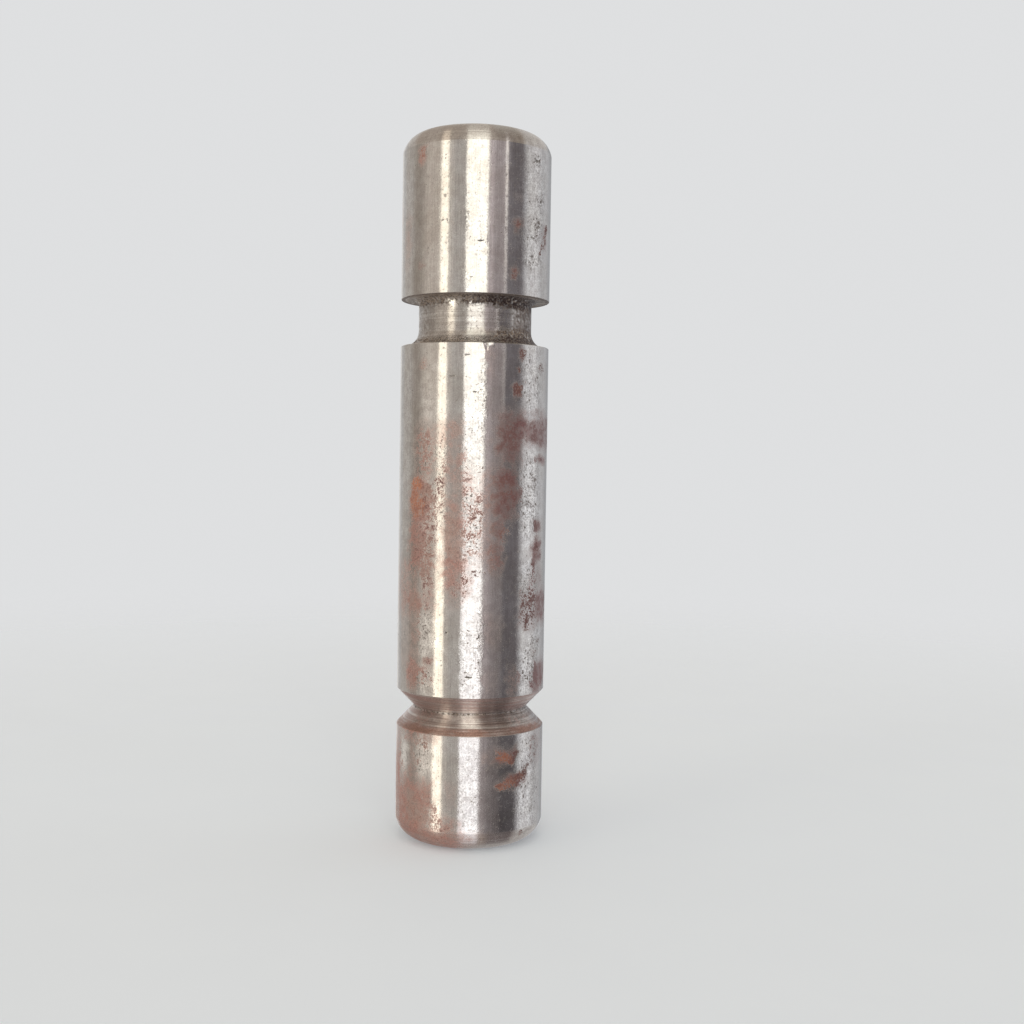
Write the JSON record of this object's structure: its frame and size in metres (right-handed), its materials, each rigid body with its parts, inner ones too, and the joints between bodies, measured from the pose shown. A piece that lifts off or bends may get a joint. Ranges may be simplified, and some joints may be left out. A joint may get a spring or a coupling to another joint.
{
  "type": "forklift pin",
  "caption": "Headless round steel pin with rounded ends, a square keeper groove near its head end and a V-shaped lock groove near its foot end.",
  "frame": {"origin": "middle of the flat foot face, which is the end face nearer the V-shaped lock groove", "axes": "+Z along the pin's axis from the foot face to the head face; -Y faces the camera of the picture, and the nick in the centre land lies about 9 degrees from -Y towards +X"},
  "size_m": [0.025, 0.025, 0.1185],
  "materials": {
    "steel": "turned and ground steel, worn bright, with tarnish, pits and patches of rust"
  },
  "bodies": {
    "root": {"pin": "steel"}
  },
  "joints": []
}
